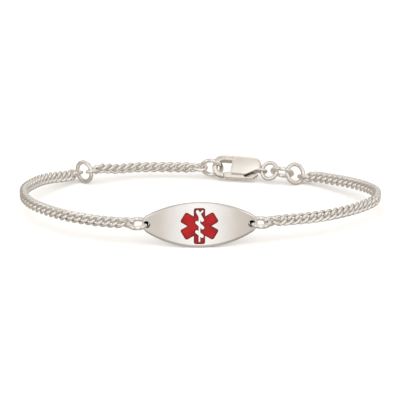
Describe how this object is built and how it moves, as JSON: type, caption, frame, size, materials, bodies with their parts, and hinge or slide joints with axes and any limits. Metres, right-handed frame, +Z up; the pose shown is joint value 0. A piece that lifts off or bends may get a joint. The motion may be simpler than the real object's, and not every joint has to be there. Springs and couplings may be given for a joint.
{
  "type": "medical alert bracelet",
  "caption": "Curb-chain bracelet standing on edge, fastened, with a curved oval identity plate, an enamelled medical star, a sizing ring and a lobster clasp with jump rings.",
  "frame": {"origin": "middle of the fastened loop, on the surface that it stands on", "axes": "+X along the identity plate to the viewer's right, -Y out of the plate's face, +Z up across the width of the bracelet"},
  "size_m": [0.0704, 0.0508, 0.009],
  "materials": {
    "silver": "polished sterling silver",
    "enamel": "glossy red enamel"
  },
  "bodies": {
    "loop": {"id_plate": "silver", "star_enamel": "enamel", "plate_ring_right": "silver", "plate_ring_left": "silver", "chain_right": "silver", "chain_left": "silver", "extension_chain": "silver", "sizing_ring": "silver", "end_ring": "silver", "clasp_body": "silver", "clasp_pin": "silver", "clasp_ring": "silver", "middle_ring": "silver", "back_ring": "silver"},
    "lever": {"clasp_lever": "silver"}
  },
  "joints": [
    {"name": "lever_pivot", "type": "hinge", "parent": "loop", "child": "lever", "pos_m": [0.00771, 0.02235, 0.00185], "axis": [0.1571, 0.7722, -0.6157], "range_deg": [0, 22], "stiffness_Nm_per_rad": 0.005, "springref_deg": -20.05}
  ]
}
